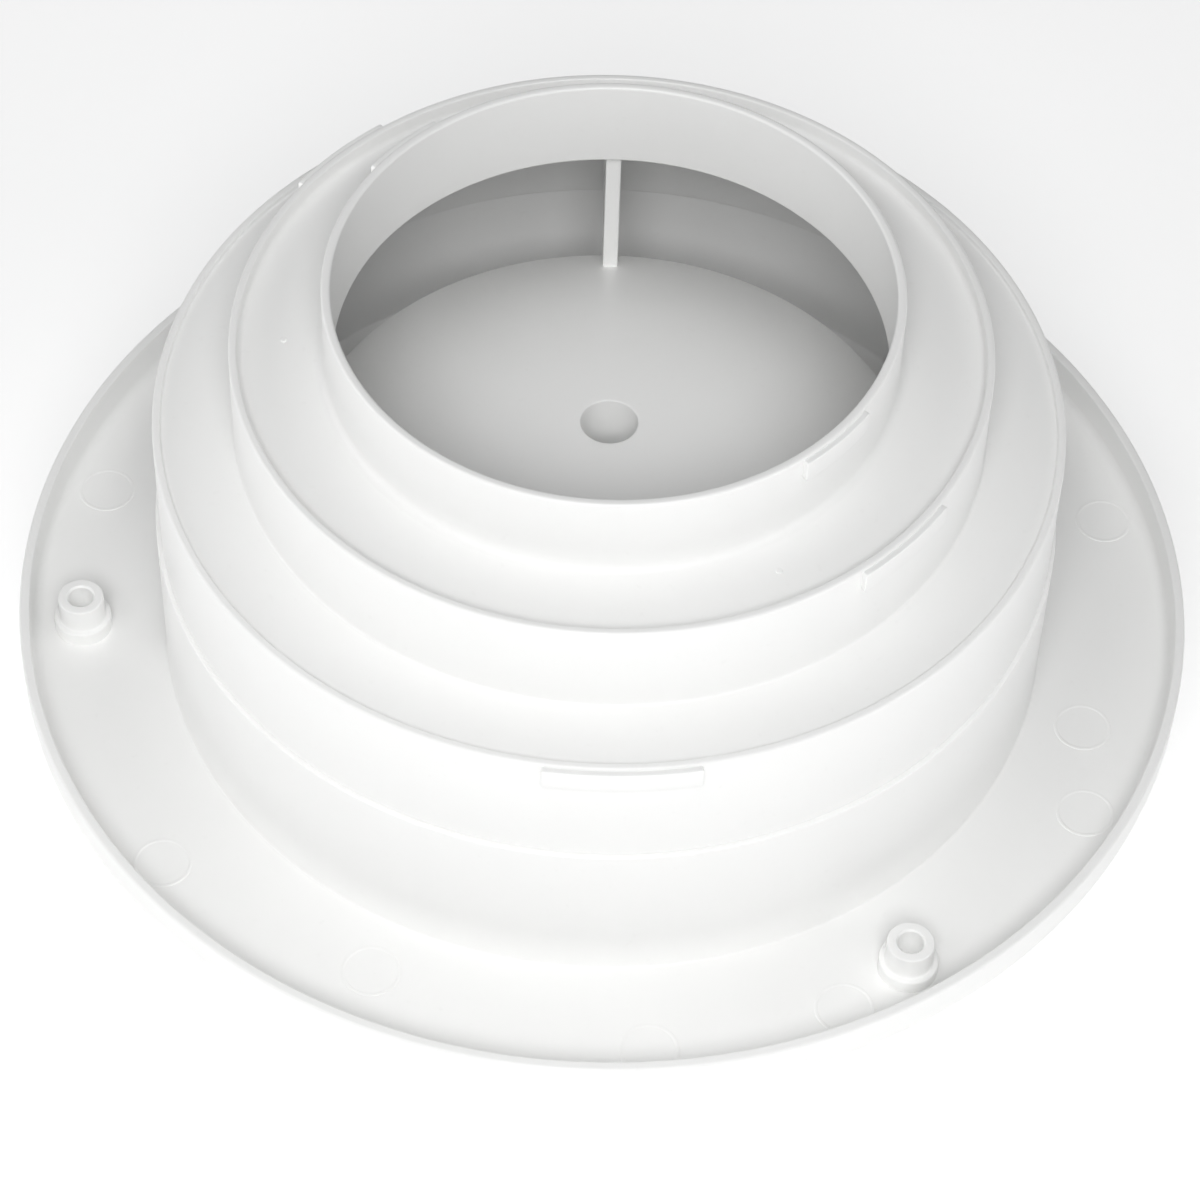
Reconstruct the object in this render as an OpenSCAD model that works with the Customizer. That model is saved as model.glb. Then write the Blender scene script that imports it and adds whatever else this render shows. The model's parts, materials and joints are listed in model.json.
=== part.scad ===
// Low-profile cowl vent with a stepped hose neck, standing on the crown of its cowl.
// Z = 0 is the flat crown of the cowl, and +Z runs up the neck.

/* [Hose neck] */
// Outside diameter of the small hose spigot (3 in hose)
small_spigot_d = 76.2; // [60:0.1:92]
// Outside diameter of the large hose spigot (4 in hose)
large_spigot_d = 101; // [90:0.1:112]
// Outside diameter of the neck's shoulder
shoulder_d = 122.6; // [112:0.1:122.8]
// Height of the small spigot above the large spigot's lip
small_spigot_h = 10; // [6:0.1:40]
// Height of the large spigot's lip above the shoulder's lip
large_spigot_h = 13.4; // [10:0.1:40]
// Height of the shoulder above the moulding seam
shoulder_h = 18.1; // [15:0.1:30]
// Wall of the small spigot
spigot_wall = 1.25; // [1:0.05:2.5]
// Thickness of the neck's ledges and of the large spigot
ledge_wall = 1.4; // [1:0.05:2.5]
// Depth of the ledge behind the large spigot's lip
large_lip_h = 2.3; // [0.5:0.1:4]
// Depth of the ledge behind the shoulder's lip
shoulder_lip_h = 0.8; // [0.3:0.1:3]
// Width of each lip
lip_w = 1.1; // [0.7:0.05:1.3]
// Height that a hose lug stands out of a spigot
lug_out = 0.8; // [0.4:0.1:1.5]
// Height that a lug stands out of the shoulder
shoulder_lug_out = 0.8; // [0.2:0.05:1.5]
// Length of a hose lug along the neck
lug_h = 3.2; // [2:0.1:5]
// Angle that a hose lug covers
lug_angle = 18; // [8:1:30]

/* [Deck base] */
// Diameter over the flange
flange_d = 164.1; // [158:0.1:200]
// Diameter of the barrel that drops into the deck cut-out
barrel_d = 123.8; // [122.8:0.1:126]
// Wall of the barrel and of the neck's shoulder
barrel_wall = 2; // [1.8:0.1:3]
// Height of the barrel from the flange's underside to the seam
barrel_h = 24.5; // [18:0.1:60]
// Thickness of the flange plate
flange_t = 2.2; // [1.6:0.1:4]
// Depth of the turned rim that seats on the deck
rim_h = 6.1; // [4:0.1:12]
// Width of the rim's seating face
rim_w = 1.4; // [1:0.1:4]
// Circle through the deck screws
screw_circle_d = 147; // [140:0.5:150]
// Diameter of the deck screw holes
screw_hole_d = 3.5; // [3:0.1:5]
// Outside diameter of the screw spacers
spacer_d = 6.4; // [6:0.1:9]

/* [Weather baffle] */
// Diameter of the domed baffle
baffle_d = 85.8; // [70:0.1:104]
// Rise of the dome from its edge to its crown
baffle_rise = 11.8; // [5:0.1:15]
// Thickness of the dome
baffle_t = 1.6; // [1.2:0.1:3]
// Depth of the dome's crown below the top of the neck
baffle_depth = 26.4; // [24:0.1:40]
// Thickness of the fins that carry the baffle
fin_t = 2.1; // [1.5:0.1:3]
// Counterbore for the pivot screw's head
counterbore_d = 7.7; // [7.4:0.1:9]

/* [Cowl] */
// Height of the cowl over the flange
cowl_h = 30; // [24:0.5:50]
// Diameter of the cowl's skirt
cowl_d = 132; // [130:0.5:138]
// Wall of the cowl
cowl_wall = 2; // [1.5:0.1:3]
// Width of the mouth, inside
mouth_w = 84; // [60:1:96]
// Distance from the swivel axis to the mouth's lip
mouth_reach = 68; // [60:1:76]
// Gap between parts that turn on each other
swivel_gap = 0.35; // [0.3:0.01:0.6]

/* [Hidden] */
$fn = 96;

white = "#F4F5F4";
seat_gap = 0.05;        // between pieces that are pressed or bonded together
eps = 0.01;

// Heights, from the crown of the cowl upwards
face_z = cowl_h;                            // outer face of the flange
under_z = face_z + flange_t;                // underside of the flange plate
rim_z = under_z + rim_h;                    // seating plane on the deck
seam_z = under_z + barrel_h;                // joint between base and neck
shoulder_z = seam_z + shoulder_h;           // top of the shoulder's lip
large_z = shoulder_z + large_spigot_h;      // top of the large spigot's lip
top_z = large_z + small_spigot_h;           // top of the neck
shoulder_ledge_z = shoulder_z - shoulder_lip_h;
large_ledge_z = large_z - large_lip_h;

// Radii of the walls
small_r = small_spigot_d / 2;
large_r = large_spigot_d / 2;
shoulder_r = shoulder_d / 2;
barrel_r = barrel_d / 2;
flange_r = flange_d / 2;
bore_r = barrel_r - barrel_wall;
edge_round = 0.4;
foot_fillet = 1.2;

// Bonded seam: the base's tongue stands in a groove in the neck's foot
tongue_h = 2.4;
tongue_t = 0.8;
groove_skin = 0.5;      // least wall on either side of the groove

// Fins of the neck
fin_angles = [91, 211, 331];
fin_overlap = 4.9;                          // how far a fin reaches in over the baffle's edge
fin_slot_depth = 0.6;
fin_foot_drop = 2.4;                        // how far a fin's foot hangs below the baffle's edge

// Hose lugs
spigot_lug_angles = [139, 319];
shoulder_lug_angles = [93, 273];

// Deck screws
spacer_angles = [65, 185, 305];
spacer_foot_d = spacer_d + 1.6;
spacer_foot_h = 2.2;
countersink_d = 7.2;
countersink_h = 2;
rim_corner = 5;

// Swivel collar and glide ring under the flange
collar_h = 5;
collar_r = barrel_r - 0.8;
glide_t = 1;
glide_wall = 1.4;
skirt_z = face_z - glide_t - seat_gap;      // edge of the cowl's skirt

// Weather baffle
baffle_r = baffle_d / 2;
fin_inner_r = baffle_r - fin_overlap;
crown_z = top_z - baffle_depth;
edge_z = crown_z - baffle_rise;
dome_r = (baffle_r * baffle_r + baffle_rise * baffle_rise) / (2 * baffle_rise);
dome_centre_z = crown_z - dome_r;
edge_angle = acos(baffle_r / dome_r);       // of the dome's edge, seen from its centre
baffle_skirt_h = 2;
baffle_boss_d = 13;
baffle_boss_z = rim_z + 1.7;                // lower end of the baffle's boss

// Pivot hardware, an M3.5 pan-head screw
screw_r = 1.75;
screw_head_r = 3.5;
screw_head_h = 2.6;
screw_length = 25;
pivot_clearance = 0.08;
washer_clearance = 0.15;
washer_t = 0.5;
wave_t = 0.9;
head_seat_z = baffle_boss_z + 18;
screw_under_head_z = head_seat_z + washer_t + wave_t + 2 * seat_gap;
post_d = 12;
post_z = baffle_boss_z - swivel_gap;        // top of the cowl's post
screw_tip_room = 3;
insert_r = 2.8;
insert_h = 8;
knurl_out = 0.3;
knurl_band_h = 1.8;
knurl_bands = [1.2, 4.4];                   // heights of the knurled bands on the insert

// Insect screen, carried by a frame under a ledge in the barrel
screen_ledge_w = 4;
screen_ledge_t = 2;
screen_frame_t = 2.4;
screen_ring_w = 6;
screen_hub_r = baffle_boss_d / 2 + 0.4;
screen_t = 0.6;
screen_ledge_z = under_z + 4;               // underside of the ledge
screen_frame_z = screen_ledge_z - seat_gap - screen_frame_t;
screen_frame_r = bore_r - 0.2;
screen_screw_circle_r = bore_r - 2.2;
screen_screw_r = 1.1;
screen_screw_angles = [30, 150, 270];
screen_screw_head_r = 2;
screen_screw_head_h = 1.5;
screen_screw_length = 5.75;
screen_screw_slot = 0.5;
screen_arms = 6;
screen_arm_w = 2;

// Cowl
crown_corner = 24;
mouth_h = 20;
mouth_corner = 10;
mouth_bead = 1.4;
mouth_bead_w = 3;
mouth_start = 10;                           // where the mouth's tunnel begins, from the axis
web_t = 1.6;                                // webs at the foot of the post
web_reach = 22;
web_h = 9;
web_angles = [45, 135, 225, 315];
guard_depth = 4;
guard_frame = 1.8;
guard_bar = 1.6;
guard_bars = 7;

// Points on an arc, from angle a to angle b
function arc(centre, r, a, b, steps = 10) = [
    for (i = [0 : steps])
        let (t = a + (b - a) * i / steps)
        [centre[0] + r * cos(t), centre[1] + r * sin(t)]
];

// A ring with a plain rectangular section
module ring(outer_r, inner_r, z, h) {
    translate([0, 0, z])
    difference() {
        cylinder(r = outer_r, h = h);
        translate([0, 0, -eps]) cylinder(r = inner_r, h = h + 2 * eps);
    }
}

// A flat-topped square with two round corners, centred on X, standing on Y = 0
module arch(w, h, corner) {
    translate([-w / 2, 0]) square([w, h - corner]);
    translate([-w / 2 + corner, 0]) square([w - 2 * corner, h]);
    for (side = [-1, 1])
        translate([side * (w / 2 - corner), h - corner]) circle(r = corner);
}

// ---- neck ----

// Half section of the stepped neck
module neck_section() {
    groove_outer_r = bore_r + tongue_t + seat_gap;
    groove_inner_r = bore_r - seat_gap;
    groove_top_z = seam_z + tongue_h + 2 * seat_gap;
    inner_r = min(shoulder_r - barrel_wall, groove_inner_r - groove_skin);
    // a shoulder narrower than the groove stands on a foot as wide as the groove needs
    foot_r = max(shoulder_r, groove_outer_r + groove_skin);
    foot_top_z = groove_top_z + ledge_wall;
    foot = foot_r > shoulder_r ? [[foot_r, foot_top_z], [shoulder_r, foot_top_z]] : [];
    polygon(concat(
        [[groove_outer_r, seam_z + seat_gap], [foot_r, seam_z + seat_gap]],
        foot,
        arc([shoulder_r - edge_round, shoulder_z - edge_round], edge_round, 0, 90, 4),
        [[shoulder_r - lip_w, shoulder_z], [shoulder_r - lip_w, shoulder_ledge_z],
         [large_r, shoulder_ledge_z]],
        arc([large_r - edge_round, large_z - edge_round], edge_round, 0, 90, 4),
        [[large_r - lip_w, large_z], [large_r - lip_w, large_ledge_z]],
        arc([small_r + foot_fillet, large_ledge_z + foot_fillet], foot_fillet, 270, 180, 6),
        arc([small_r - edge_round, top_z - edge_round], edge_round, 0, 90, 4),
        arc([small_r - spigot_wall + edge_round, top_z - edge_round], edge_round, 90, 180, 4),
        arc([small_r - spigot_wall + edge_round, large_ledge_z - ledge_wall + edge_round],
            edge_round, 180, 270, 4),
        [[large_r - ledge_wall, large_ledge_z - ledge_wall],
         [large_r - ledge_wall, shoulder_ledge_z - ledge_wall],
         [inner_r, shoulder_ledge_z - ledge_wall],
         [inner_r, seam_z + seat_gap], [groove_inner_r, seam_z + seat_gap],
         [groove_inner_r, groove_top_z], [groove_outer_r, groove_top_z]]
    ));
}

// Raised pad under a rim that keeps a clamped hose from creeping off
module hose_lug(r, z, angle, out) {
    root = 0.5;
    rotate([0, 0, angle - lug_angle / 2])
    rotate_extrude(angle = lug_angle)
        translate([r - root, z - edge_round - lug_h])
            square([root + out, lug_h]);
}

// What stays of the baffle under a fin, grown by a gap: the floor of the fin's slot
module slot_floor(gap) {
    r = dome_r - fin_slot_depth + gap;
    polygon(concat(
        [[0, edge_z - 8]],
        arc([0, dome_centre_z], r, 90, edge_angle, 24),
        [[baffle_r + gap, edge_z - fin_slot_depth + gap], [baffle_r + gap, edge_z - 8]]
    ));
}

// Fin under the ledges, down to the baffle and to the shoulder's wall
module neck_fin(angle) {
    foot_z = edge_z - fin_foot_drop;
    rotate([0, 0, angle])
    rotate([90, 0, 0])
    translate([0, 0, -fin_t / 2])
    linear_extrude(fin_t)
    difference() {
        polygon([
            [fin_inner_r, edge_z - 6], [fin_inner_r, large_ledge_z - ledge_wall / 2],
            [large_r - ledge_wall / 2, large_ledge_z - ledge_wall / 2],
            [large_r - ledge_wall / 2, shoulder_ledge_z - ledge_wall / 2],
            [shoulder_r - barrel_wall / 2, shoulder_ledge_z - ledge_wall / 2],
            [shoulder_r - barrel_wall / 2, seam_z + tongue_h + 1],
            [shoulder_r - barrel_wall - 2, seam_z + tongue_h + 1],
            [baffle_r + 3, foot_z], [baffle_r + seat_gap, foot_z]
        ]);
        slot_floor(seat_gap);
    }
}

module stepped_neck() {
    color(white)
    union() {
        rotate_extrude() neck_section();
        for (a = fin_angles) neck_fin(a);
        for (a = spigot_lug_angles) {
            hose_lug(small_r, top_z, a, lug_out);
            hose_lug(large_r, large_z, a, lug_out);
        }
        for (a = shoulder_lug_angles) hose_lug(shoulder_r, shoulder_z, a, shoulder_lug_out);
    }
}

// ---- deck base ----

// Half section of the base: collar, flange, turned rim and barrel
module base_section() {
    rim_inner_r = flange_r - rim_w;
    rim_fillet = 1.5;
    polygon(concat(
        [[bore_r, face_z - collar_h], [collar_r, face_z - collar_h], [collar_r, face_z]],
        arc([flange_r - rim_corner, face_z + rim_corner], rim_corner, 270, 360, 12),
        arc([flange_r - edge_round, rim_z - edge_round], edge_round, 0, 90, 4),
        [[rim_inner_r, rim_z]],
        arc([rim_inner_r - rim_fillet, under_z + rim_fillet], rim_fillet, 0, -90, 6),
        [[barrel_r, under_z], [barrel_r, seam_z],
         [bore_r + tongue_t, seam_z], [bore_r + tongue_t, seam_z + tongue_h],
         [bore_r, seam_z + tongue_h]]
    ));
}

// Spacer that carries a deck screw from the flange to the deck
module screw_spacer() {
    translate([screw_circle_d / 2, 0, under_z - eps]) {
        cylinder(d = spacer_d, h = rim_h + eps);
        cylinder(d = spacer_foot_d, h = spacer_foot_h);
    }
}

module screw_hole() {
    translate([screw_circle_d / 2, 0, face_z - 1]) {
        cylinder(d = screw_hole_d, h = rim_z - face_z + 2);
        cylinder(d = countersink_d, h = 1);
    }
    translate([screw_circle_d / 2, 0, face_z - eps])
        cylinder(d1 = countersink_d, d2 = screw_hole_d, h = countersink_h);
}

module deck_base() {
    color(white)
    difference() {
        union() {
            rotate_extrude() base_section();
            ring(bore_r + eps, bore_r - screen_ledge_w, screen_ledge_z, screen_ledge_t);
            for (a = spacer_angles) rotate([0, 0, a]) screw_spacer();
        }
        for (a = spacer_angles) rotate([0, 0, a]) screw_hole();
        for (a = screen_screw_angles)
            rotate([0, 0, a])
            translate([screen_screw_circle_r, 0, screen_ledge_z - 1])
                cylinder(r = screen_screw_r + seat_gap, h = screen_ledge_t + 2);
    }
}

// ---- weather baffle ----

// Half section of the dome, with a turned-down edge that sheds the spray
module baffle_section() {
    inner_edge_angle = acos((baffle_r - baffle_t) / (dome_r - baffle_t));
    polygon(concat(
        arc([0, dome_centre_z], dome_r, 90, edge_angle, 24),
        [[baffle_r, edge_z - baffle_skirt_h], [baffle_r - baffle_t, edge_z - baffle_skirt_h]],
        arc([0, dome_centre_z], dome_r - baffle_t, inner_edge_angle, 90, 24)
    ));
}

module weather_baffle() {
    color(white)
    difference() {
        union() {
            rotate_extrude() baffle_section();
            translate([0, 0, baffle_boss_z])
                cylinder(d = baffle_boss_d, h = crown_z - baffle_t / 2 - baffle_boss_z);
        }
        translate([0, 0, head_seat_z]) cylinder(d = counterbore_d, h = crown_z);
        translate([0, 0, baffle_boss_z - 1])
            cylinder(r = screw_r + pivot_clearance, h = head_seat_z - baffle_boss_z + 2);
        for (a = fin_angles) rotate([0, 0, a]) fin_slot();
    }
}

// Slot in the baffle's edge for the foot of a fin
module fin_slot() {
    width = fin_t + 2 * seat_gap;
    rotate([90, 0, 0])
    translate([0, 0, -width / 2])
    linear_extrude(width)
    difference() {
        translate([fin_inner_r - seat_gap, edge_z - fin_slot_depth])
            square([baffle_r, baffle_rise]);
        slot_floor(0);
    }
}

// ---- insect screen ----

module screen_frame() {
    color("#E9EBEA")
    difference() {
        union() {
            ring(screen_frame_r, screen_frame_r - screen_ring_w, screen_frame_z, screen_frame_t);
            ring(screen_hub_r + 3, screen_hub_r, screen_frame_z, screen_frame_t);
            for (i = [0 : screen_arms - 1])
                rotate([0, 0, i * 360 / screen_arms])
                translate([screen_hub_r + 1, -screen_arm_w / 2, screen_frame_z])
                    cube([screen_frame_r - screen_ring_w - screen_hub_r, screen_arm_w,
                          screen_frame_t - screen_t]);
        }
        // rebate for the mesh
        ring(bore_r - screen_ledge_w - 0.2, screen_hub_r + 1.4,
             screen_frame_z + screen_frame_t - screen_t, screen_t + 1);
        for (a = screen_screw_angles)
            rotate([0, 0, a])
            translate([screen_screw_circle_r, 0, screen_frame_z - 1])
                cylinder(r = screen_screw_r + 0.2, h = screen_frame_t + 2);
    }
}

module insect_screen() {
    color("#B9BCBD")
        ring(bore_r - screen_ledge_w - 0.2 - seat_gap, screen_hub_r + 1.4 + seat_gap,
             screen_frame_z + screen_frame_t - screen_t + seat_gap, screen_t - seat_gap);
}

module screen_screws() {
    color("#C9CBCC")
    for (a = screen_screw_angles)
        rotate([0, 0, a])
        translate([screen_screw_circle_r, 0, screen_frame_z]) {
            difference() {
                translate([0, 0, -screen_screw_head_h - seat_gap])
                    cylinder(r = screen_screw_head_r, h = screen_screw_head_h);
                for (b = [0, 90])
                    rotate([0, 0, b])
                    translate([-1.2, -screen_screw_slot / 2, -screen_screw_head_h - 0.5])
                        cube([2.4, screen_screw_slot, 1.1]);
            }
            translate([0, 0, -screen_screw_head_h / 2])
                cylinder(r = screen_screw_r, h = screen_screw_length + screen_screw_head_h / 2);
        }
}

// ---- swivel ----

module glide_ring() {
    inner_r = collar_r + seat_gap;
    color("#DADCD8")
    union() {
        ring(cowl_d / 2, inner_r, face_z - glide_t, glide_t - seat_gap);
        ring(inner_r + glide_wall, inner_r, face_z - collar_h, collar_h - glide_t + eps);
    }
}

module flat_washer() {
    color("#BFC2C4")
        ring(screw_head_r, screw_r + washer_clearance, head_seat_z + seat_gap, washer_t - seat_gap);
}

// Spring washer with a shallow crown, so that the cowl turns under a light drag
module wave_washer() {
    base_z = head_seat_z + washer_t + seat_gap;
    strip = 0.4;
    color("#AEB1B3")
    translate([0, 0, base_z])
    rotate_extrude()
        polygon([
            [screw_r + washer_clearance, wave_t - strip - seat_gap], [screw_head_r, 0],
            [screw_head_r, strip], [screw_r + washer_clearance, wave_t - seat_gap]
        ]);
}

module pivot_screw() {
    color("#C4C7C9")
    difference() {
        union() {
            translate([0, 0, screw_under_head_z - screw_length])
                cylinder(r = screw_r, h = screw_length + 0.5);
            translate([0, 0, screw_under_head_z])
            rotate_extrude()
                polygon(concat(
                    [[0, 0], [screw_head_r, 0], [screw_head_r, screw_head_h * 0.45]],
                    [for (i = [1 : 8])
                        [screw_head_r * cos(i * 90 / 8),
                         screw_head_h * (0.45 + 0.55 * sin(i * 90 / 8))]]
                ));
        }
        for (a = [0, 90])
            rotate([0, 0, a])
            translate([-2, -0.45, screw_under_head_z + 1])
                cube([4, 0.9, screw_head_h]);
    }
}

module threaded_insert() {
    color("#C9A14A")
    union() {
        ring(insert_r, screw_r + seat_gap, post_z - insert_h, insert_h);
        for (z = knurl_bands)
            ring(insert_r + knurl_out, insert_r - knurl_out, post_z - insert_h + z, knurl_band_h);
    }
}

// ---- cowl ----

// Outline of half the cowl's dome at a given inset from the outside
module dome_section(inset) {
    polygon(concat(
        [[0, inset]],
        arc([cowl_d / 2 - crown_corner, crown_corner], crown_corner - inset, 270, 360, 14),
        [[cowl_d / 2 - inset, skirt_z + inset], [0, skirt_z + inset]]
    ));
}

// Solid of the mouth's tunnel, with its flat crown downwards
module mouth_tunnel(w, h, corner, z0, start, reach) {
    translate([0, start, z0 + h])
    rotate([-90, 0, 0])
    linear_extrude(reach - start)
        arch(w, h, corner);
}

module cowl_hood() {
    outer_w = mouth_w + 2 * cowl_wall;
    outer_h = mouth_h + 2 * cowl_wall;
    color(white)
    difference() {
        union() {
            difference() {
                union() {
                    rotate_extrude() dome_section(0);
                    mouth_tunnel(outer_w, outer_h, mouth_corner + cowl_wall, 0,
                                 mouth_start, mouth_reach);
                    mouth_tunnel(outer_w + 2 * mouth_bead, outer_h + mouth_bead,
                                 mouth_corner + cowl_wall + mouth_bead,
                                 0, mouth_reach - mouth_bead_w, mouth_reach);
                }
                // the hollow inside, open towards the flange
                rotate_extrude() dome_section(cowl_wall);
                mouth_tunnel(mouth_w, mouth_h, mouth_corner, cowl_wall,
                             mouth_start, mouth_reach + 1);
            }
            // post for the pivot screw, with its webs
            cylinder(d = post_d, h = post_z);
            for (a = web_angles)
                rotate([0, 0, a])
                translate([0, -web_t / 2, cowl_wall / 2]) cube([web_reach, web_t, web_h]);
        }
        // seat of the insert, with room for the screw's tip below it
        translate([0, 0, post_z - insert_h - screw_tip_room])
            cylinder(r = screw_r + 0.4, h = screw_tip_room + 1);
        translate([0, 0, post_z - insert_h - seat_gap])
            cylinder(r = insert_r + knurl_out + seat_gap, h = insert_h + 1);
    }
}

// Guard of upright bars that snaps into the mouth
module mouth_guard() {
    w = mouth_w - 2 * seat_gap - 0.1;
    h = mouth_h - 2 * seat_gap - 0.1;
    z0 = cowl_wall + seat_gap + 0.05;
    front = mouth_reach - 1;
    color("#EDEEED") {
        difference() {
            mouth_tunnel(w, h, mouth_corner - seat_gap, z0, front - guard_depth, front);
            mouth_tunnel(w - 2 * guard_frame, h - 2 * guard_frame, mouth_corner - guard_frame,
                         z0 + guard_frame, front - guard_depth - 1, front + 1);
        }
        for (i = [1 : guard_bars])
            translate([-w / 2 + w * i / (guard_bars + 1) - guard_bar / 2,
                       front - guard_depth + 0.5, z0 + 0.5])
                cube([guard_bar, guard_depth - 1, h - 1]);
    }
}

stepped_neck();
deck_base();
weather_baffle();
screen_frame();
insect_screen();
screen_screws();
glide_ring();
flat_washer();
wave_washer();
cowl_hood();
mouth_guard();
threaded_insert();
pivot_screw();
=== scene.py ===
"""Looks of a low-profile cowl vent: white injection-moulded ABS, neck up, standing on its cowl."""

import json
import math

import bmesh
import bpy
from mathutils import Matrix, Vector


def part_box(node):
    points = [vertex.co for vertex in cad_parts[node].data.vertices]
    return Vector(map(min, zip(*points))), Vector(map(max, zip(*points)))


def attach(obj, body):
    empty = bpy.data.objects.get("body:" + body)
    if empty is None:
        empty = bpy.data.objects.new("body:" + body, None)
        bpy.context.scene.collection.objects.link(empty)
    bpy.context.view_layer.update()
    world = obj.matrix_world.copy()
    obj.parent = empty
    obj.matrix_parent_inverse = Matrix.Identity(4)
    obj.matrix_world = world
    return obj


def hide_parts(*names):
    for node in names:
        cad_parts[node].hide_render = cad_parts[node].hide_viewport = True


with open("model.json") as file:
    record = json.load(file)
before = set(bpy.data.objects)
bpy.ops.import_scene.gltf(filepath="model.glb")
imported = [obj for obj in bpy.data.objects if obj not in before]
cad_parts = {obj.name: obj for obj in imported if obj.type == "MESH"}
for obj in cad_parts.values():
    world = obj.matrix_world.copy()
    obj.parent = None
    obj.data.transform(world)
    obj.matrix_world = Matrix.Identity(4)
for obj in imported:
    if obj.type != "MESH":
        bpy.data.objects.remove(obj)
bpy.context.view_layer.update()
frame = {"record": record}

MM = 0.001


# ---------------------------------------------------------------- camera, light and floor

SHARP_ANGLE = 32.0
WORLD_STRENGTH = 0.15
FLOOR_GLOW = 0.30
LIGHTS = (
    ("low_left", (-1.15, -0.55, 0.35), 0.6, 1.2),
    ("low_right", (1.15, -0.55, 0.35), 0.6, 2.2),
    ("over_the_camera", (0.0, -0.80, 0.98), 0.6, 8.0),
    ("front_left", (-0.62, -0.62, 0.95), 0.6, 1.3),
    ("front_right", (0.62, -0.62, 0.95), 0.6, 0.85),
    ("back", (0.0, 1.1, 0.6), 0.7, 0.3),
    ("left", (-1.25, 0.15, 0.45), 0.6, 2.4),
)


def make_camera(elevation, roll, distance, target, lens):
    """Camera in front of the part, looking down on it."""
    data = bpy.data.cameras.new("camera")
    data.lens = lens
    data.sensor_width = 36.0
    data.clip_start = 0.01
    data.clip_end = 10.0
    camera = bpy.data.objects.new("camera", data)
    bpy.context.scene.collection.objects.link(camera)
    tilt = Matrix.Rotation(math.radians(90 - elevation), 4, "X")
    turn = tilt @ Matrix.Rotation(math.radians(-roll), 4, "Z")
    back = turn @ Vector((0, 0, 1, 0))
    camera.matrix_world = Matrix.Translation(Vector(target) + back.to_3d() * distance) @ turn
    bpy.context.scene.camera = camera


def area_light(name, place, size, power):
    """Round soft light that faces the middle of the part."""
    data = bpy.data.lights.new(name, "AREA")
    data.shape = "DISK"
    data.size = size
    data.energy = power
    light = bpy.data.objects.new(name, data)
    bpy.context.scene.collection.objects.link(light)
    direction = Vector((0, 0, 0.05)) - Vector(place)
    light.matrix_world = Matrix.Translation(place) @ direction.to_track_quat("-Z", "Y").to_matrix().to_4x4()


def make_stage():
    half = 4.0
    floor_mesh = bpy.data.meshes.new("floor")
    floor_mesh.from_pydata([(-half, -half, 0), (half, -half, 0), (half, half, 0), (-half, half, 0)], [],
                           [(0, 1, 2, 3)])
    floor = bpy.data.objects.new("floor", floor_mesh)
    bpy.context.scene.collection.objects.link(floor)
    pale = bpy.data.materials.new("pale_floor")
    pale.use_nodes = True
    shader = pale.node_tree.nodes["Principled BSDF"]
    shader.inputs["Base Color"].default_value = (0.96, 0.96, 0.96, 1)
    shader.inputs["Roughness"].default_value = 0.9
    shader.inputs["Emission Color"].default_value = (1, 1, 1, 1)
    shader.inputs["Emission Strength"].default_value = FLOOR_GLOW
    floor_mesh.materials.append(pale)

    world = bpy.data.worlds.new("studio")
    world.use_nodes = True
    world.node_tree.nodes["Background"].inputs["Color"].default_value = (0.98, 0.99, 1.0, 1)
    world.node_tree.nodes["Background"].inputs["Strength"].default_value = WORLD_STRENGTH
    bpy.context.scene.world = world
    bpy.context.scene.view_settings.view_transform = "Standard"

    for name, place, size, power in LIGHTS:
        area_light(name, place, size, power)


# ---------------------------------------------------------------- finishes

class Wire:
    """A shader socket that does maths: + - * / and powers add Math nodes."""

    def __init__(self, tree, socket):
        self.tree = tree
        self.socket = socket

    def _maths(self, operation, first, second):
        node = self.tree.nodes.new("ShaderNodeMath")
        node.operation = operation
        for slot, value in zip(node.inputs, (first, second)):
            if isinstance(value, Wire):
                self.tree.links.new(value.socket, slot)
            else:
                slot.default_value = value
        return Wire(self.tree, node.outputs[0])

    def __add__(self, other): return self._maths("ADD", self, other)
    def __radd__(self, other): return self._maths("ADD", other, self)
    def __sub__(self, other): return self._maths("SUBTRACT", self, other)
    def __rsub__(self, other): return self._maths("SUBTRACT", other, self)
    def __mul__(self, other): return self._maths("MULTIPLY", self, other)
    def __rmul__(self, other): return self._maths("MULTIPLY", other, self)
    def __truediv__(self, other): return self._maths("DIVIDE", self, other)
    def __rtruediv__(self, other): return self._maths("DIVIDE", other, self)
    def __pow__(self, other): return self._maths("POWER", self, other)


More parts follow.
